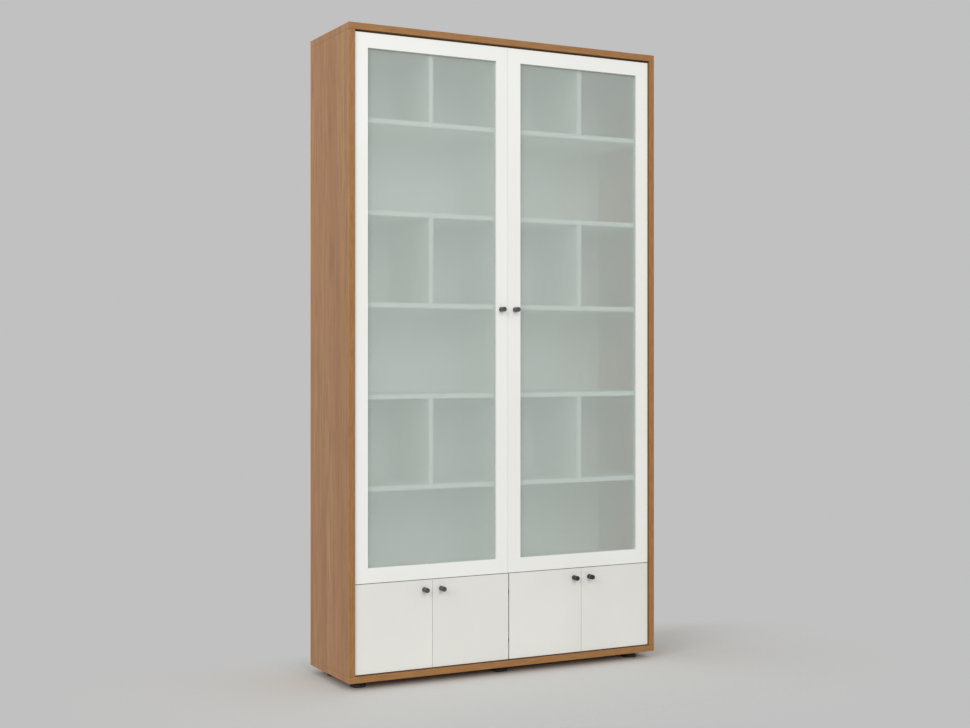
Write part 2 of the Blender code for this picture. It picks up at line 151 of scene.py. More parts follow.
class Wiring:
    """A node tree, and the one method that adds its nodes."""

    def __init__(self, tree):
        self.tree = tree
        tree.nodes.clear()

    def node(self, kind, settings=None, values=None):
        """A new node: its settings first, then the values or links of its sockets."""
        node = self.tree.nodes.new(kind)
        for name, setting in (settings or {}).items():
            setattr(node, name, setting)
        for key, value in (values or {}).items():
            socket = pick(node.inputs, key)
            for part in value if isinstance(value, list) else [value]:
                if isinstance(part, Shade):
                    self.tree.links.new(part.socket, socket)
                else:
                    socket.default_value = part
        return Shade(self, node.outputs[0]) if node.outputs else None


def shade_of(red, green, blue):
    """A colour as a screen shows it, 0 to 255, turned into light by the usual curve of screens."""
    shares = (red / 255, green / 255, blue / 255)
    light = [share / 12.92 if share <= 0.04045 else ((share + 0.055) / 1.055) ** 2.4 for share in shares]
    return (*light, 1.0)


class Finish(Wiring):
    """A material. Its patterns are read from places on the piece, in metres."""

    def __init__(self, name):
        self.material = bpy.data.materials.new(name)
        self.material.use_nodes = True
        super().__init__(self.material.node_tree)
        self.place = self.node("ShaderNodeTexCoord").out("Object")

    def parts(self, place):
        """The three coordinates of a place."""
        split = self.node("ShaderNodeSeparateXYZ", {}, {"Vector": place})
        return [split.out(axis) for axis in "XYZ"]

    def drawn(self, repeats, shift=(0.0, 0.0, 0.0)):
        """The place on the piece, with the pattern's repeats for each metre: one number for all three
        directions, or one for each."""
        scale = repeats if isinstance(repeats, tuple) else (repeats, repeats, repeats)
        return self.node("ShaderNodeMapping", {}, {
            "Vector": self.place, "Location": shift, "Scale": scale,
        })

    def cloud(self, place, detail=2.0, roughness=0.5, distortion=0.0):
        """Smooth noise from 0 to 1, about one lump for each unit of place."""
        return self.node("ShaderNodeTexNoise", {}, {
            "Vector": place, "Scale": 1.0, "Detail": detail, "Roughness": roughness,
            "Distortion": distortion,
        })

    def rise(self, value, low, high):
        """0 below low, 1 above high and a smooth rise between. With low above high it falls."""
        return self.node("ShaderNodeMapRange", {"interpolation_type": "SMOOTHSTEP"}, {
            "Value": value, "From Min": low, "From Max": high,
        })

    def mixed(self, share, first, second):
        """The first colour, with this share of the second."""
        mix = self.node("ShaderNodeMix", {"data_type": "RGBA"}, {
            "Factor_Float": share, "A_Color": first, "B_Color": second,
        })
        return mix.out("Result_Color")

    def dimmed(self, colour, factor):
        """A colour made darker or lighter by a factor."""
        vector = colour if isinstance(colour, Shade) else colour[:3]
        return self.node("ShaderNodeVectorMath", {"operation": "SCALE"}, {
            "Vector": vector, "Scale": factor,
        })

    def relief(self, height, depth):
        """The normal of a surface whose height from 0 to 1 stands for this depth in metres."""
        return self.node("ShaderNodeBump", {}, {"Height": height, "Distance": depth, "Strength": 1.0})

    def surface(self, **values):
        """The material's shader. Each socket is named in lower case with _ for a space."""
        named = {key.replace("_", " ").title().replace("Ior", "IOR"): value for key, value in values.items()}
        shader = self.node("ShaderNodeBsdfPrincipled", {}, named)
        self.node("ShaderNodeOutputMaterial", {}, {"Surface": shader})
        return self.material


BACKDROP = shade_of(193, 193, 193)
FLOOR_PAINT = shade_of(222, 222, 220)
FLOOR_GRAIN = 90.0
FLOOR_RADIUS = 7.0
FLOOR_SIDES = 96
FADE_START = 0.02
FADE_END = 1.0
QUICKER_FADE_BEHIND = 3.0
AIR_COLOUR = (1.0, 1.0, 0.985, 1.0)
AIR_LIGHT = 0.46
SEEN_BY_RAYS = ("Is Camera Ray", "Is Glossy Ray", "Is Transmission Ray")
LAMP_AIM = (0.0, 0.0, 1.0)


def floor_paint():
    """Matt floor round the cabinet, which turns into the plain background further out."""
    paint = Finish("studio_floor")
    x, y, _ = paint.parts(paint.place)
    low, high = (Vector(corner) for corner in cad_box)
    reach = paint.node("ShaderNodeVectorMath", {"operation": "LENGTH"}, {
        "Vector": paint.node("ShaderNodeCombineXYZ", {}, {
            "X": (low.x - x).higher(x - high.x).higher(0.0),
            "Y": (low.y - y).higher((y - high.y) * QUICKER_FADE_BEHIND).higher(0.0),
        }),
    }).out("Value")
    grain = paint.cloud(paint.drawn(FLOOR_GRAIN), detail=3.0)
    matt = paint.node("ShaderNodeBsdfDiffuse", {}, {
        "Color": paint.dimmed(FLOOR_PAINT, 0.985 + 0.03 * grain),
    })
    clear = paint.node("ShaderNodeBsdfTransparent")
    share = paint.rise(reach, FADE_START, FADE_END)
    mix = paint.node("ShaderNodeMixShader", {}, {0: share, 1: matt, 2: clear})
    paint.node("ShaderNodeOutputMaterial", {}, {"Surface": mix})
    return paint.material


floor_mesh = bpy.data.meshes.new("studio_floor")
shape = bmesh.new()
bmesh.ops.create_circle(shape, cap_ends=True, radius=FLOOR_RADIUS, segments=FLOOR_SIDES)
shape.to_mesh(floor_mesh)
shape.free()
floor_mesh.materials.append(floor_paint())
floor = added("studio_floor", floor_mesh)

world = bpy.data.worlds.new("studio_air")
world.use_nodes = True
air = Wiring(world.node_tree)
ray = air.node("ShaderNodeLightPath")
seen = ray.out(SEEN_BY_RAYS[0])
for kind in SEEN_BY_RAYS[1:]:
    seen = seen.higher(ray.out(kind))
even = air.node("ShaderNodeBackground", {}, {"Color": AIR_COLOUR, "Strength": AIR_LIGHT})
plain = air.node("ShaderNodeBackground", {}, {"Color": BACKDROP, "Strength": 1.0})
air.node("ShaderNodeOutputWorld", {}, {
    "Surface": air.node("ShaderNodeMixShader", {}, {0: seen, 1: even, 2: plain}),
})
bpy.context.scene.world = world


def soft_box(name, place, size, power):
    """A square lamp that gives soft shadows, turned to the cabinet."""
    lamp = bpy.data.lights.new(name, "AREA")
    lamp.shape = "SQUARE"
    lamp.size = size
    lamp.energy = power
    holder = added(name, lamp)
    holder.location = place
    holder.rotation_euler = (Vector(LAMP_AIM) - Vector(place)).to_track_quat("-Z", "Y").to_euler()


soft_box("left_soft_box", place=(-6.0, -4.0, 3.8), size=4.8, power=215.0)
soft_box("front_soft_box", place=(-0.6, -8.0, 4.3), size=3.6, power=250.0)


# The wood-look case: two sides with upright grain, and a top and a bottom that lie over and under them
# with the grain along. Laminated chipboard, edged at the front with a warmer band a millimetre thick.
# The inner faces carry painted shade in a strip as deep as the closed doors, for the shade in the recess.
WOOD_LIGHT = shade_of(194, 149, 107)
WOOD_MID = shade_of(171, 125, 86)
WOOD_DARK = shade_of(144, 104, 69)
WOOD_ROSE = shade_of(182, 130, 97)
BAND_LIGHT = shade_of(166, 119, 71)
BAND_DARK = shade_of(151, 105, 59)
ARRIS_LIGHT = shade_of(190, 150, 108)

# The axis that the grain runs along, X on lying boards and Z on upright ones.
LYING = 0
UPRIGHT = 2
GRAIN_AXES = {"left_side": UPRIGHT, "right_side": UPRIGHT, "top_panel": LYING, "bottom_panel": LYING}

# Repeats of each pattern for each metre, across the grain and along it.
STRIPES = (9.0, 0.25)
FIGURE = (26.0, 0.9)
STREAKS = (85.0, 6.5)
FIBRES = (520.0, 14.0)
ROSY_PATCHES = (34.0, 1.4)
PORES = (1500.0, 42.0)
BAND_FIBRES = (260.0, 20.0)

WOOD_SHIFT = (7.3, 14.6)
WOOD_ROUGHNESS = 0.4
WOOD_GLOSS = 0.3
WOOD_RELIEF = 0.00005
PORE_DARK = 0.16
SEAM_DARK = 0.3
BAND_THICKNESS = 0.001
BAND_SEAM = 0.00025
END_PRINT = 0.0008
ARRIS_WEAR = 0.0015
WOOD_WORN = 0.0005
WOOD_WEAR_WAVER = 0.0006
# Painted shade on the inner faces in the recess round the closed doors: its strength, the softness of its
# back edge and the skin it lies on.
RECESS_PAINTED_SHADE = 0.45
RECESS_SHADE_FADE = 0.001
RECESS_SHADE_SKIN = 0.0006
CASE_MIDDLE = (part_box("bottom_panel")[1].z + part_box("top_panel")[0].z) / 2


def own_shift(box, near, far):
    """A shift of the pattern, worked out from a board's own corners, so that no two boards look alike."""
    return tuple(near * low + far * high for low, high in zip(*box))


def from_edge(paint, box):
    """How far a place on a board's face lies from the board's nearest edge: the second shortest of
    its three distances to the sides of the board's box, because the shortest is nil there."""
    first, second, third = (
        (at - low).lower(high - at)
        for at, low, high in zip(paint.parts(paint.place), *box)
    )
    return first.lower(second).higher(first.higher(second).lower(third))


def lengthwise(along, across, length):
    """A grain's repeats for X, Y and Z: many across the board, few along it."""
    return tuple(length if axis == along else across for axis in range(3))


def printed_grain(paint, along, shift):
    """The decor paper: broad light and dark stripes, short streaks and a rosy cast here and there.
    Gives its colour, its streaks and its fibre."""
    broad = paint.cloud(paint.drawn(lengthwise(along, *STRIPES), shift), detail=1.0)
    figure = paint.cloud(paint.drawn(lengthwise(along, *FIGURE), shift), distortion=0.3)
    streak = paint.cloud(paint.drawn(lengthwise(along, *STREAKS), shift), detail=4.0, roughness=0.6)
    fibre = paint.cloud(paint.drawn(lengthwise(along, *FIBRES), shift), detail=3.0, roughness=0.65)
    rose = paint.cloud(paint.drawn(lengthwise(along, *ROSY_PATCHES), shift[::-1]))
    tone = 0.55 * paint.rise(broad, 0.38, 0.6) + 0.45 * paint.rise(figure, 0.32, 0.68)
    colour = paint.mixed(tone, WOOD_MID, WOOD_LIGHT)
    colour = paint.mixed(paint.rise(streak, 0.4, 0.72) * 0.6, colour, WOOD_DARK)
    colour = paint.mixed(paint.rise(rose, 0.44, 0.72) * 0.55, colour, WOOD_ROSE)
    return colour, streak, fibre


def painted_recess_shade(paint, box, along):
    """Mask of painted shade for the recess round the doors: 1 on a board's inner face as far back as the
    closed doors reach, 0 elsewhere.
    """
    thin, middle = (2, CASE_MIDDLE) if along == LYING else (0, 0.0)
    places = paint.parts(paint.place)
    inner_face = min(abs(corner[thin] - middle) for corner in box)
    lift = abs(places[thin] - middle) - inner_face
    doors_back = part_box("left_door_frame")[1].y
    reach = paint.rise(places[1], doors_back + RECESS_SHADE_FADE, doors_back)
    return reach * paint.rise(lift, RECESS_SHADE_SKIN, RECESS_SHADE_SKIN / 2)


def wood(name, box, along):
    """Printed wood grain along one axis, drawn anew for each board by its own place. The ends of the
    top and bottom are edged with upright grain that follows on from the sides."""
    paint = Finish(name)
    low, high = box
    shift = own_shift(box, *WOOD_SHIFT)
    across, depth, _ = paint.parts(paint.place)
    colour, streak, fibre = printed_grain(paint, along, shift)
    if along == LYING:
        side_grain = printed_grain(paint, UPRIGHT, own_shift(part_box("left_side"), *WOOD_SHIFT))[0]
        end = paint.rise(abs(across), high.x - END_PRINT, high.x - END_PRINT / 2)
        colour = paint.mixed(end, colour, side_grain)
    pores = paint.cloud(paint.drawn(lengthwise(along, *PORES), shift), detail=1.0)
    pore = paint.rise(pores, 0.62, 0.74)

    front = low.y + BAND_THICKNESS
    band = paint.rise(depth, front + BAND_SEAM, front)
    band_grain = paint.cloud(paint.drawn(lengthwise(along, *BAND_FIBRES), shift), detail=3.0, roughness=0.6)
    band_colour = paint.mixed(paint.rise(band_grain, 0.34, 0.66), BAND_LIGHT, BAND_DARK)
    colour = paint.mixed(band, colour, band_colour)
    seam = paint.rise(abs(depth - front), BAND_SEAM, 0.0)
    worn = paint.rise(from_edge(paint, box) + WOOD_WEAR_WAVER * streak, ARRIS_WEAR, WOOD_WORN)
    colour = paint.mixed(worn * (0.1 + 0.3 * fibre), colour, ARRIS_LIGHT)
    shading = (0.93 + 0.14 * fibre) * (1.0 - PORE_DARK * pore) * (1.0 - SEAM_DARK * seam)
    # Painted shade: the inner faces darken in the strip the closed doors cover, where the recess lies in
    # shade.
    shading = shading * (1.0 - RECESS_PAINTED_SHADE * painted_recess_shade(paint, box, along))
    return paint.surface(
        base_color=paint.dimmed(colour, shading),
        roughness=WOOD_ROUGHNESS + 0.16 * fibre + 0.1 * pore - 0.06 * worn,
        normal=paint.relief(fibre - 0.6 * pore - 0.8 * seam, WOOD_RELIEF),
        specular_ior_level=WOOD_GLOSS,
    )


for board, along in GRAIN_AXES.items():
    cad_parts[board].material_slots[0].material = wood("wood_" + board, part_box(board), along)


# The white boards inside: the partition, the fixed shelves, the ten shelves and the six dividers, and
# the thin back. White melamine on chipboard, with a pearled press and a half-millimetre front edging.
WHITE_BOARD_WORDS = ("partition", "shelf", "divider", "back_panel")
MELAMINE = shade_of(246, 247, 243)
MELAMINE_WARM = shade_of(241, 240, 233)
MELAMINE_CLOUDS = 2.2
MELAMINE_SHIFT = (5.1, 3.7)
MELAMINE_ROUGHNESS = 0.46
MELAMINE_RELIEF = 0.00006
PEARLS = 900.0
DUST = 55.0
EDGING = shade_of(242, 244, 242)
EDGING_THICKNESS = 0.0006
WHITE_WORN = 0.0004


def melamine(name, box):
    """White pressed paper with fine pearls, a band line behind the front edge and soft arrises."""
    paint = Finish(name)
    shift = own_shift(box, *MELAMINE_SHIFT)
    _, depth, _ = paint.parts(paint.place)
    tone = paint.cloud(paint.drawn(MELAMINE_CLOUDS, shift))
    pearl = paint.cloud(paint.drawn(PEARLS, shift))
    dust = paint.rise(paint.cloud(paint.drawn(DUST, shift), detail=4.0), 0.5, 0.75)
    front = box[0].y + EDGING_THICKNESS
    colour = paint.mixed(paint.rise(tone, 0.3, 0.75) * 0.5, MELAMINE, MELAMINE_WARM)
    colour = paint.mixed(paint.rise(depth, front + BAND_SEAM, front), colour, EDGING)
    seam = paint.rise(abs(depth - front), BAND_SEAM, 0.0)
    worn = paint.rise(from_edge(paint, box), ARRIS_WEAR, WHITE_WORN)
    shading = (0.985 + 0.02 * pearl) * (1.0 - 0.12 * seam) * (1.0 - 0.02 * dust)
    return paint.surface(
        base_color=paint.dimmed(colour, shading),
        roughness=MELAMINE_ROUGHNESS + 0.12 * pearl + 0.06 * dust - 0.08 * worn,
        normal=paint.relief(pearl - 0.6 * seam, MELAMINE_RELIEF),
    )


for board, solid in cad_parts.items():
    if any(word in board for word in WHITE_BOARD_WORDS):
        solid.material_slots[0].material = melamine("melamine_" + board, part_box(board))


# Small fasteners of the case: screws that hold the back panel in its rebate, and plastic caps over the
# cam fittings, in the undersides of the shelves and the inner faces of the case boards.
class Recipe(Wiring):
    """A geometry tree with named sizes. It sets a small shape out on the points it is given."""

    SOCKETS = {
        float: "NodeSocketFloat", int: "NodeSocketInt", bpy.types.Material: "NodeSocketMaterial",
    }

    def __init__(self, name, sizes):
        tree = bpy.data.node_groups.new(name, "GeometryNodeTree")
        super().__init__(tree)
        tree.interface.new_socket("Points", in_out="INPUT", socket_type="NodeSocketGeometry")
        for size, kind in sizes.items():
            tree.interface.new_socket(size, in_out="INPUT", socket_type=self.SOCKETS[kind])
        tree.interface.new_socket("Shape", in_out="OUTPUT", socket_type="NodeSocketGeometry")
        self.given = self.node("NodeGroupInput")

    def finish(self, shape):
        """One shape on each point, turned by the point's own turn, as plain mesh in its material."""
        turn = self.node("GeometryNodeInputNamedAttribute", {"data_type": "FLOAT_VECTOR"}, {"Name": "turn"})
        placed = self.node("GeometryNodeInstanceOnPoints", {}, {
            "Points": self.given.out("Points"), "Instance": shape,
            "Rotation": self.node("FunctionNodeEulerToRotation", {}, {"Euler": turn}),
        })
        plain = self.node("GeometryNodeRealizeInstances", {}, {"Geometry": placed})
        painted = self.node("GeometryNodeSetMaterial", {}, {
            "Geometry": plain, "Material": self.given.out("Finish"),
        })
        self.node("NodeGroupOutput", {}, {"Shape": painted})

    def make(self, name, places, **sizes):
        """A plain mesh object from this recipe. A place is a point and the way the shape faces."""
        draw = random.Random(name)
        points = bpy.data.meshes.new(name)
        points.from_pydata([point for point, _ in places], [], [])
        turns = points.attributes.new("turn", "FLOAT_VECTOR", "POINT")
        for turn, (_, way) in zip(turns.data, places):
            spin = Quaternion((0, 0, 1), draw.uniform(0, math.pi))
            turn.vector = (Vector(way).to_track_quat("Z", "Y") @ spin).to_euler()
        piece = added(name, points)
        modifier = piece.modifiers.new("recipe", "NODES")
        modifier.node_group = self.tree
        for socket in self.tree.interface.items_tree:
            if socket.in_out == "INPUT" and socket.name in sizes:
                modifier[socket.identifier] = sizes[socket.name]
        built = piece.evaluated_get(bpy.context.evaluated_depsgraph_get())
        mesh = bpy.data.meshes.new_from_object(built)
        piece.modifiers.remove(modifier)
        piece.data = mesh
        return piece


def fastener_recipe():
    """A round head with a chamfered rim, standing on its point, with a cross cut into its top by two
    bars. A cross exactly as deep as its head, as in the hinge cups' screws, leaves stray faces there."""
    recipe = Recipe("fastener", {
        "Radius": float, "Height": float, "Rim": float, "Cross": float, "Cross Width": float,
        "Cross Depth": float, "Sides": int, "Finish": bpy.types.Material,
    })
    given = recipe.given
    radius = given.out("Radius")
    height = given.out("Height")
    rim = given.out("Rim")
    drum = recipe.node("GeometryNodeMeshCone", {"fill_type": "NGON"}, {
        "Vertices": given.out("Sides"), "Radius Top": radius, "Radius Bottom": radius,
        "Depth": height - rim,
    })
    raised = recipe.node("GeometryNodeExtrudeMesh", {"mode": "FACES"}, {
        "Mesh": drum, "Selection": drum.out("Top"), "Offset Scale": rim, "Individual": False,
    })
    head = recipe.node("GeometryNodeScaleElements", {"domain": "FACE"}, {
        "Geometry": raised, "Selection": raised.out("Top"), "Scale": 1.0 - rim / radius,
    })
    bar = recipe.node("GeometryNodeMeshCube", {}, {
        "Size": recipe.node("ShaderNodeCombineXYZ", {}, {
            "X": given.out("Cross"), "Y": given.out("Cross Width"), "Z": 2.0 * given.out("Cross Depth"),
        }),
    })
    lift = recipe.node("ShaderNodeCombineXYZ", {}, {"Z": height})
    bars = [
        recipe.node("GeometryNodeTransform", {}, {
            "Geometry": bar, "Translation": lift, "Rotation": (0.0, 0.0, angle),
        })
        for angle in (0.0, math.pi / 2)
    ]
    recipe.finish(recipe.node("GeometryNodeMeshBoolean", {"operation": "DIFFERENCE"}, {
        "Mesh 1": head, "Mesh 2": bars,
    }))
    return recipe


NICKEL_BRIGHT = shade_of(205, 204, 200)
NICKEL_DULL = shade_of(178, 176, 170)
NICKEL_PATCHES = 160.0
NICKEL_ROUGHNESS = 0.24
NICKEL_RELIEF = 0.00002
TURNING_MARKS = (2400.0, 2400.0, 300.0)
MOULDED_GRAIN = 1300.0
MOULDED_PATCHES = 40.0
MOULDED_RELIEF = 0.00005


def nickel(name):
    """Bright nickel on steel, with fine turning marks and slightly duller patches."""
    paint = Finish(name)
    patch = paint.cloud(paint.drawn(NICKEL_PATCHES), detail=3.0)
    marks = paint.cloud(paint.drawn(TURNING_MARKS))
    return paint.surface(
        base_color=paint.mixed(paint.rise(patch, 0.4, 0.7), NICKEL_BRIGHT, NICKEL_DULL),
        metallic=1.0,
        roughness=NICKEL_ROUGHNESS + 0.14 * patch + 0.1 * marks,
        normal=paint.relief(marks, NICKEL_RELIEF),
    )


def moulded(name, tone, roughness):
    """Moulded plastic in one tone with a fine spark-eroded grain."""
    paint = Finish(name)
    grain = paint.cloud(paint.drawn(MOULDED_GRAIN))
    patch = paint.cloud(paint.drawn(MOULDED_PATCHES))
    return paint.surface(
        base_color=paint.dimmed(tone, 0.94 + 0.08 * grain + 0.04 * patch),
        roughness=roughness + 0.12 * grain + 0.05 * patch,
        normal=paint.relief(grain, MOULDED_RELIEF),
    )


def fixed(piece, body):
    """The piece moves with a body of the frame."""
    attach(piece, body)
    return piece


def spread(low, high, spacing):
    """Even places between two ends, at most a spacing apart."""
    count = math.ceil((high - low) / spacing)
    return [low + (high - low) * step / count for step in range(count + 1)]


NICKEL = nickel("nickel_steel")
WHITE_PLASTIC = moulded("white_plastic", shade_of(228, 228, 222), roughness=0.4)
FASTENER = fastener_recipe()
SCREW_SIZES = {
    "Radius": 0.0035, "Height": 0.0012, "Rim": 0.0007, "Cross": 0.0042, "Cross Width": 0.0008,
    "Cross Depth": 0.0009, "Sides": 20, "Finish": NICKEL,
}
CAP_SIZES = {
    "Radius": 0.0085, "Height": 0.0010, "Rim": 0.0005, "Cross": 0.0045, "Cross Width": 0.0007,
    "Cross Depth": 0.0003, "Sides": 32, "Finish": WHITE_PLASTIC,
}
BACKWARDS = (0, 1, 0)
BACK_SCREW_FROM_EDGE = 0.011
BACK_SCREW_SPACING = 0.17
BACK_SCREW_SUNK = 0.0010
CAP_FROM_END = 0.034
CAP_FROM_EDGE = 0.062

low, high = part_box("back_panel")
left, right = low.x + BACK_SCREW_FROM_EDGE, high.x - BACK_SCREW_FROM_EDGE
foot, head = low.z + BACK_SCREW_FROM_EDGE, high.z - BACK_SCREW_FROM_EDGE
heights = spread(foot, head, BACK_SCREW_SPACING)
widths = spread(left, right, BACK_SCREW_SPACING)
places = [(x, z) for x in (left, right) for z in heights]
places += [(x, z) for x in widths[1:-1] for z in (foot, head)]
places += [(0.0, z) for z in heights[1:-1]]
back_screws = [((x, high.y - BACK_SCREW_SUNK, z), BACKWARDS) for x, z in places]
fixed(FASTENER.make("back_panel_screws", back_screws, **SCREW_SIZES), "case")

caps = []
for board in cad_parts:
    if "shelf" in board:
        low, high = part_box(board)
        ends = (low.x + CAP_FROM_END, high.x - CAP_FROM_END)
        sides = (low.y + CAP_FROM_EDGE, high.y - CAP_FROM_EDGE)
        caps += [((x, y, low.z), (0, 0, -1)) for x in ends for y in sides]
low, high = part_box("right_side")
for end in (-1, 1):
    for y in (low.y + CAP_FROM_EDGE, high.y - CAP_FROM_EDGE):
        for z in (low.z + CAP_FROM_END, high.z - CAP_FROM_END):
            caps.append(((end * low.x, y, z), (-end, 0, 0)))
fixed(FASTENER.make("fitting_caps", caps, **CAP_SIZES), "case")


# The door frames and the four small doors. White lacquer on fibreboard, sprayed in one piece with no
# mitres, satin, with an orange peel so fine that it only breaks up the gloss.
FRAME_LACQUER = (shade_of(242, 243, 239), shade_of(239, 240, 235))
SMALL_DOOR_LACQUER = (shade_of(233, 232, 227), shade_of(229, 228, 223))
LACQUER_CLOUDS = 2.6
LACQUER_SHIFT = (4.3, 2.9)
LACQUER_ROUGHNESS = 0.34
LACQUER_GLOSS = 0.35
LACQUER_RELIEF = 0.00003
LACQUER_WEAR_WAVER = 0.0005
ORANGE_PEEL = 320.0
SPECKS = 1500.0
DOOR_BODIES = {"left_door_frame": "left_door", "right_door_frame": "right_door"}
DOOR_BODIES.update({f"lower_door_{number}": f"small_door_{number}" for number in (1, 2, 3, 4)})


def lacquer(name, box, tones):
    """Satin white spray lacquer in two near tones, which thins a little at the arrises."""
    paint = Finish(name)
    shift = own_shift(box, *LACQUER_SHIFT)
    tone = paint.cloud(paint.drawn(LACQUER_CLOUDS, shift), detail=3.0)
    peel = paint.cloud(paint.drawn(ORANGE_PEEL, shift))
    speck = paint.cloud(paint.drawn(SPECKS, shift), detail=1.0)
    worn = paint.rise(from_edge(paint, box) + LACQUER_WEAR_WAVER * tone, ARRIS_WEAR, WHITE_WORN)
    colour = paint.mixed(paint.rise(tone, 0.35, 0.68), *tones)
    return paint.surface(
        base_color=paint.dimmed(colour, (0.994 + 0.008 * speck) * (1.0 - 0.025 * worn)),
        roughness=LACQUER_ROUGHNESS + 0.08 * peel + 0.05 * tone + 0.08 * worn,
        normal=paint.relief(peel + 0.3 * speck, LACQUER_RELIEF),
        specular_ior_level=LACQUER_GLOSS,
    )


for door in DOOR_BODIES:
    tones = FRAME_LACQUER if door.endswith("frame") else SMALL_DOOR_LACQUER
    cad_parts[door].material_slots[0].material = lacquer("lacquer_" + door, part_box(door), tones)


# The two panes. Float glass 4 mm thick, etched to an even satin, faintly green, on the seat of the
# frame's deep rebate and held there from behind by mitred white beads with small screws.
GLASS_TINT = shade_of(223, 234, 229)
GLASS_COVER = 0.48
GLASS_BLUR = 0.35
GLASS_ROUGHNESS = 0.15
GLASS_IOR = 1.5
GLASS_PATCHES = (9.0, 9.0, 5.0)
FROST = 1100.0
FROST_RELIEF = 0.00001
BEAD_WIDTH = 0.0057
BEAD_GAP = 0.0003
BEAD_EDGE = 0.0004
BEAD_SCREW_SPACING = 0.24
BEAD_SCREW_FROM_CORNER = 0.05
BEAD_SCREW = {**SCREW_SIZES, "Radius": 0.0019, "Height": 0.0005, "Rim": 0.0002, "Cross": 0.0024}
SHARP_ANGLE = math.radians(35)


def frosted_glass():
    """Etched glass: about half of the light passes each face unchanged. Of the rest, the frost blurs
    a third and scatters two thirds as a milky white."""
    paint = Finish("frosted_glass")
    frost = paint.cloud(paint.drawn(FROST))
    patch = paint.cloud(paint.drawn(GLASS_PATCHES))
    return paint.surface(
        base_color=paint.dimmed(GLASS_TINT, 0.99 + 0.02 * patch),
        roughness=GLASS_ROUGHNESS + 0.03 * frost + 0.03 * patch,
        alpha=GLASS_COVER + 0.03 * (frost - 0.5),
        normal=paint.relief(frost, FROST_RELIEF),
        ior=GLASS_IOR, transmission_weight=GLASS_BLUR,
    )


def made(name, shape, finish, smooth):
    """The finished shape as an object in one material, flat or smooth between its sharp edges."""
    mesh = bpy.data.meshes.new(name)
    shape.to_mesh(mesh)
    shape.free()
    if smooth:
        mesh.shade_smooth()
        mesh.set_sharp_from_angle(angle=SHARP_ANGLE)
    mesh.materials.append(finish)
    return added(name, mesh)


def plate(name, outlines, thickness, bevel, finish):
    """Flat plates that rise backwards from their outlines, with softened rims, as one mesh."""
    shape = bmesh.new()
    for outline in outlines:
        face = shape.faces.new([shape.verts.new(point) for point in outline])
        raised = bmesh.ops.extrude_face_region(shape, geom=[face])["geom"]
        lifted = [part for part in raised if isinstance(part, bmesh.types.BMVert)]
        bmesh.ops.translate(shape, verts=lifted, vec=Vector(BACKWARDS) * thickness)
    bmesh.ops.recalc_face_normals(shape, faces=shape.faces)
    bmesh.ops.bevel(
        shape, geom=[edge for edge in shape.edges if edge.calc_face_angle(0) > SHARP_ANGLE],
        offset=bevel, segments=1, affect="EDGES", clamp_overlap=True,
    )
    return made(name, shape, finish, smooth=False)


FROSTED = frosted_glass()
BEAD_LACQUER = lacquer("lacquer_beads", cad_box, FRAME_LACQUER)

for side in ("left", "right"):
    body = f"{side}_door"
    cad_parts[f"{body}_glass"].material_slots[0].material = FROSTED
    low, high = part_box(f"{body}_glass")
    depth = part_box(f"{body}_frame")[1].y - high.y - 2 * BEAD_GAP
    seat_y = high.y + BEAD_GAP
    outer = ((low.x, low.z), (high.x, low.z), (high.x, high.z), (low.x, high.z))
    inner = [(x - math.copysign(BEAD_WIDTH, x - (low.x + high.x) / 2),
              z - math.copysign(BEAD_WIDTH, z - (low.z + high.z) / 2)) for x, z in outer]
    outlines = []
    for corner in range(4):
        after = (corner + 1) % 4
        strip = (outer[corner], inner[corner], inner[after], outer[after])
        outlines.append([(x, seat_y, z) for x, z in strip])
    beads = plate(f"{body}_glazing_beads", outlines, depth, BEAD_EDGE, BEAD_LACQUER)
    fixed(beads, body)

    inset = BEAD_SCREW_FROM_CORNER
    heights = spread(low.z + inset, high.z - inset, BEAD_SCREW_SPACING)
    widths = spread(low.x + inset, high.x - inset, BEAD_SCREW_SPACING)
    middle = BEAD_WIDTH / 2
    places = [(x, z) for x in (low.x + middle, high.x - middle) for z in heights]
    places += [(x, z) for x in widths for z in (low.z + middle, high.z - middle)]
    screws = [((x, seat_y + depth, z), BACKWARDS) for x, z in places]
    fixed(FASTENER.make(f"{body}_bead_screws", screws, **BEAD_SCREW), body)


# The six knobs. Turned aluminium in a dark satin coat: a long round head with a shallow dish, a slight
# waist for the fingertips and a short base. A screw through the door holds each.
KNOB_SWELL = 0.0084
KNOB_WAIST = 0.0074
KNOB_BASE_END = 0.0075
KNOB_HEAD_START = 0.0155
KNOB_SLOPE = 0.003
KNOB_END = 0.028
KNOB_DISH = 0.0004
DISH_OUTER_SHARE = 0.86
DISH_INNER_SHARE = 0.8
KNOB_ROUNDING = 0.0018
ROUNDING_LIMIT = 0.45
KNOB_GAP = 0.0003
KNOB_SCREW = {**SCREW_SIZES, "Radius": 0.0042, "Height": 0.0022, "Rim": 0.0009, "Cross": 0.0050}
# Painted shade: the knobs of the two right-hand small doors take a darker copy of the coat, for the shade on
# them.
SHADED_KNOB_DOORS = ("lower_door_3", "lower_door_4")
KNOB_COAT = (shade_of(76, 77, 74), shade_of(98, 98, 94))
SHADED_KNOB_COAT = (shade_of(44, 44, 43), shade_of(62, 62, 60))
COAT_RUBS = 300.0
COAT_RINGS = 2600.0
COAT_METAL = 0.35
COAT_ROUGHNESS = 0.42
COAT_RELIEF = 0.00002
TURNED_SIDES = 64


def softened(corners, radius, steps=4):
    """A profile with the corners between its ends rounded, as far as the sides next to them allow."""
    points = [corners[0]]
    for before, corner, after in zip(corners, corners[1:], corners[2:]):
        before, corner, after = Vector(before), Vector(corner), Vector(after)
        back = (before - corner).normalized() * min(radius, (before - corner).length * ROUNDING_LIMIT)
        on = (after - corner).normalized() * min(radius, (after - corner).length * ROUNDING_LIMIT)
        for step in range(steps + 1):
            share = step / steps
            points.append(tuple(corner + back * (1 - share) ** 2 + on * share ** 2))
    return points + [corners[-1]]


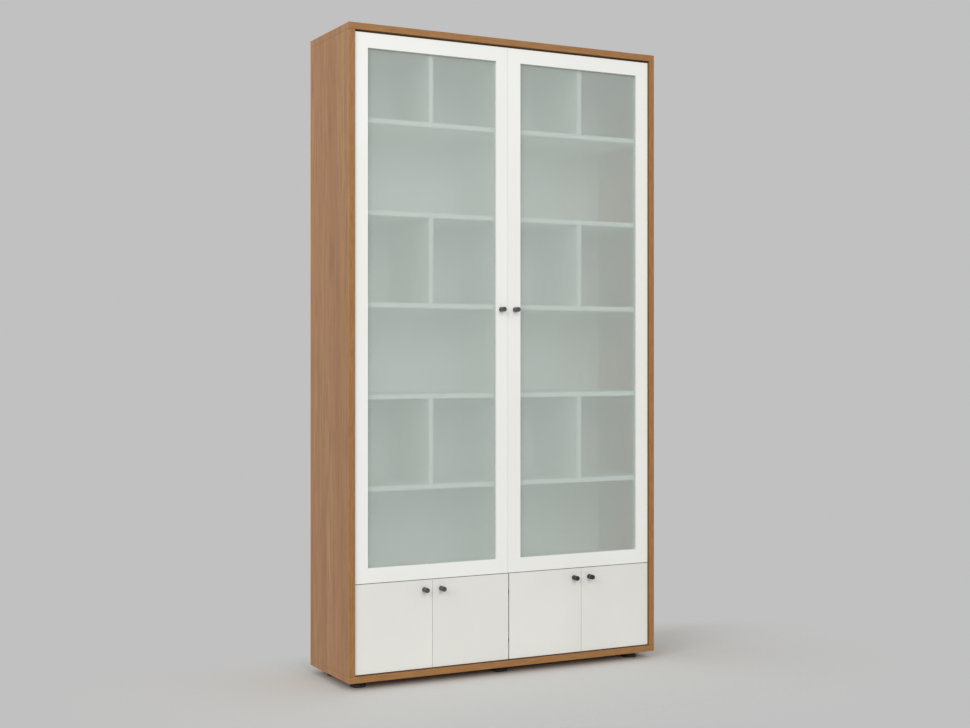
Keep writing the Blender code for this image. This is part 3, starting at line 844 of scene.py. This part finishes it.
def turned(name, profile, middle, up, finish, ribs=0, rib_depth=0.0, rib_span=(0.0, 0.0)):
    """A solid of revolution. The profile runs from one end of its axis to the other as radius and
    height, and the wall between the heights of rib_span may carry ribs."""
    shape = bmesh.new()
    turn = Vector(up).to_track_quat("Z", "Y")
    rings = []
    for radius, height in profile[1:-1]:
        depth = rib_depth if rib_span[0] <= height <= rib_span[1] else 0.0
        ring = []
        for side in range(TURNED_SIDES):
            angle = 2 * math.pi * side / TURNED_SIDES
            reach = radius - depth * (0.5 + 0.5 * math.cos(ribs * angle))
            point = Vector((reach * math.cos(angle), reach * math.sin(angle), height))
            ring.append(shape.verts.new(Vector(middle) + turn @ point))
        rings.append(ring)
    first = shape.verts.new(Vector(middle) + turn @ Vector((0, 0, profile[0][1])))
    last = shape.verts.new(Vector(middle) + turn @ Vector((0, 0, profile[-1][1])))
    for side in range(TURNED_SIDES):
        following = (side + 1) % TURNED_SIDES
        shape.faces.new((first, rings[0][following], rings[0][side]))
        shape.faces.new((last, rings[-1][side], rings[-1][following]))
        for lower, upper in zip(rings, rings[1:]):
            shape.faces.new((lower[side], lower[following], upper[following], upper[side]))
    bmesh.ops.recalc_face_normals(shape, faces=shape.faces)
    return made(name, shape, finish, smooth=True)


def knob_coat(name, middle, coat):
    """Dark satin coat in two near tones with faint rings from turning, lighter where fingers rub it."""
    paint = Finish(name)
    x, _, z = middle
    across, depth, upward = paint.parts(paint.place)
    rubbed = paint.cloud(paint.drawn(COAT_RUBS, middle), detail=3.0)
    rings = paint.cloud(paint.node("ShaderNodeCombineXYZ", {}, {"Y": depth * COAT_RINGS}), detail=1.0)
    reach = ((across - x) * (across - x) + (upward - z) * (upward - z)) / KNOB_SWELL ** 2
    rim = paint.rise(reach, 0.72, 1.0)
    return paint.surface(
        base_color=paint.mixed(paint.rise(rubbed, 0.4, 0.7) * 0.6 + 0.3 * rim, *coat),
        metallic=COAT_METAL,
        roughness=COAT_ROUGHNESS + 0.12 * rubbed - 0.05 * rim,
        normal=paint.relief(rings, COAT_RELIEF),
    )


KNOB_PROFILE = softened((
    (0.0, 0.0), (KNOB_SWELL, 0.0), (KNOB_SWELL, KNOB_BASE_END),
    (KNOB_WAIST, KNOB_BASE_END + KNOB_SLOPE), (KNOB_WAIST, KNOB_HEAD_START - KNOB_SLOPE),
    (KNOB_SWELL, KNOB_HEAD_START), (KNOB_SWELL, KNOB_END), (KNOB_SWELL * DISH_OUTER_SHARE, KNOB_END),
    (KNOB_SWELL * DISH_INNER_SHARE, KNOB_END - KNOB_DISH), (0.0, KNOB_END - KNOB_DISH),
), KNOB_ROUNDING)

for leaf, body in DOOR_BODIES.items():
    door = leaf.replace("_frame", "")
    low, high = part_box(f"{door}_knob")
    front, back = (corner.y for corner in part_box(leaf))
    x, z = (low.x + high.x) / 2, (low.z + high.z) / 2
    centre = (x, front - KNOB_GAP, z)
    coat = knob_coat(f"{door}_knob_coat", centre, SHADED_KNOB_COAT if door in SHADED_KNOB_DOORS else KNOB_COAT)
    knob = turned(f"{door}_turned_knob", KNOB_PROFILE, centre, (0, -1, 0), coat)
    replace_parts(fixed(knob, body), f"{door}_knob")
    screw = FASTENER.make(f"{door}_knob_screw", [((x, back, z), BACKWARDS)], **KNOB_SCREW)
    fixed(screw, body)


# The six feet, three along the front and three along the back. Black moulded glides with a fluted neck
# and a plain round base, each on a peg that is pressed into the bottom board.
FOOT_NAMES = [f"{row}_{place}_foot" for row in ("front", "rear") for place in ("left", "centre", "right")]
FOOT_NECK = 0.0245
FOOT_BASE = 0.027
FOOT_BASE_HEIGHT = 0.011
FOOT_EDGE = 0.0022
FOOT_ROUNDING = 0.001
FOOT_GAP = 0.0003
FLUTES = 32
FLUTE_DEPTH = 0.0007
FLUTE_FROM_ENDS = 0.0005
BLACK_PLASTIC = moulded("black_plastic", shade_of(42, 42, 43), roughness=0.5)

for name in FOOT_NAMES:
    low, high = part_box(name)
    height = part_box("bottom_panel")[0].z - FOOT_GAP
    profile = softened((
        (0.0, 0.0), (FOOT_BASE - FOOT_EDGE, 0.0), (FOOT_BASE, FOOT_EDGE),
        (FOOT_BASE, FOOT_BASE_HEIGHT - FOOT_EDGE), (FOOT_NECK, FOOT_BASE_HEIGHT),
        (FOOT_NECK, height), (0.0, height),
    ), FOOT_ROUNDING)
    middle = ((low.x + high.x) / 2, (low.y + high.y) / 2, 0.0)
    glide = turned(
        name.replace("_foot", "_glide"), profile, middle, (0, 0, 1), BLACK_PLASTIC,
        FLUTES, FLUTE_DEPTH, (FOOT_BASE_HEIGHT + FLUTE_FROM_ENDS, height - FLUTE_FROM_ENDS),
    )
    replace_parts(fixed(glide, "case"), name)


# The concealed hinges. Nickel plated: an arm on a mounting plate screwed to the case, and a cup pressed
# into the back of the door, with a flange and two screws. The cup is open towards the arm.
CUP_FROM_DOOR_EDGE = 0.0205
CUP_OUTER = 0.0172
CUP_INNER = 0.0163
CUP_DEPTH = 0.0104
CUP_FLOOR = 0.0009
CUP_FLOOR_HOLE = 0.002
CUP_FLANGE = 0.0198
CUP_FLANGE_THICKNESS = 0.0010
CUP_OPENING = math.radians(52)
CUP_STEPS = 40
CUP_SCREW = {**SCREW_SIZES, "Radius": 0.0032, "Height": 0.0009}
EAR_WIDTH = 0.013
EAR_LENGTH = 0.013
EAR_CORNER = 0.003
EAR_THICKNESS = 0.0009
EAR_BEVEL = 0.0002
EAR_FROM_CENTRE = 0.024
MOUNTING_PLATE = 0.003
PLATE_SCREW_FROM_CENTRE = 0.019
PLATE_SCREW_FROM_ARM_END = 0.025


def rounded(width, height, corner, steps=4):
    """A rectangle with round corners about its middle, as points that run anticlockwise."""
    points = []
    for turn, (side, top) in enumerate(((1, 1), (-1, 1), (-1, -1), (1, -1))):
        for step in range(steps + 1):
            angle = math.pi / 2 * (turn + step / steps)
            points.append((
                side * (width / 2 - corner) + corner * math.cos(angle),
                top * (height / 2 - corner) + corner * math.sin(angle),
            ))
    return points


def open_cup(name, cups, finish):
    """Pressed cups with a flange, as one mesh. Each has its middle at the door's back, and a gap in
    its wall on the side that points to the hinge pin."""
    section = (
        (CUP_FLANGE, 0.0), (CUP_FLANGE, CUP_FLANGE_THICKNESS), (CUP_INNER, CUP_FLANGE_THICKNESS),
        (CUP_INNER, CUP_FLOOR - CUP_DEPTH), (CUP_FLOOR_HOLE, CUP_FLOOR - CUP_DEPTH),
        (CUP_FLOOR_HOLE, -CUP_DEPTH), (CUP_OUTER, -CUP_DEPTH), (CUP_OUTER, 0.0),
    )
    shape = bmesh.new()
    start = CUP_OPENING / 2
    sweep = 2 * math.pi - CUP_OPENING
    for x, y, z, towards in cups:
        rings = []
        for step in range(CUP_STEPS + 1):
            angle = start + sweep * step / CUP_STEPS
            rings.append([
                shape.verts.new((
                    x + towards * radius * math.cos(angle), y + rise, z + radius * math.sin(angle),
                ))
                for radius, rise in section
            ])
        for near, far in zip(rings, rings[1:]):
            for corner in range(len(section)):
                following = (corner + 1) % len(section)
                shape.faces.new((near[corner], near[following], far[following], far[corner]))
        shape.faces.new(rings[0])
        shape.faces.new(rings[-1])
    bmesh.ops.recalc_face_normals(shape, faces=shape.faces)
    return made(name, shape, finish, smooth=True)


ear_outline = rounded(EAR_WIDTH, EAR_LENGTH, EAR_CORNER)
case_screws = []
for leaf, body in DOOR_BODIES.items():
    door = leaf.replace("_frame", "")
    low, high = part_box(leaf)
    arms = [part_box(node) for node in sorted(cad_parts) if node.startswith(f"{door}_hinge_")]
    towards = -1 if arms[0][0].x < (low.x + high.x) / 2 else 1
    x = (low.x if towards < 0 else high.x) - towards * CUP_FROM_DOOR_EDGE
    cups = []
    ears = []
    door_screws = []
    for arm_low, arm_high in arms:
        z = (arm_low.z + arm_high.z) / 2
        wall = arm_low.x + MOUNTING_PLATE if towards < 0 else arm_high.x - MOUNTING_PLATE
        cups.append((x, high.y, z, towards))
        for up in (-1, 1):
            middle = z + up * EAR_FROM_CENTRE
            ears.append([(x + side, high.y, middle + rise) for side, rise in reversed(ear_outline)])
            door_screws.append(((x, high.y + CUP_FLANGE_THICKNESS, middle), BACKWARDS))
            place = (wall, arm_high.y - PLATE_SCREW_FROM_ARM_END, z + up * PLATE_SCREW_FROM_CENTRE)
            case_screws.append((place, (-towards, 0, 0)))
    fixed(open_cup(f"{door}_hinge_cups", cups, NICKEL), body)
    fixed(plate(f"{door}_hinge_ears", ears, EAR_THICKNESS, EAR_BEVEL, NICKEL), body)
    fixed(FASTENER.make(f"{door}_cup_screws", door_screws, **CUP_SCREW), body)
for node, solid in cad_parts.items():
    if "hinge" in node:
        solid.material_slots[0].material = NICKEL
fixed(FASTENER.make("hinge_plate_screws", case_screws, **SCREW_SIZES), "case")
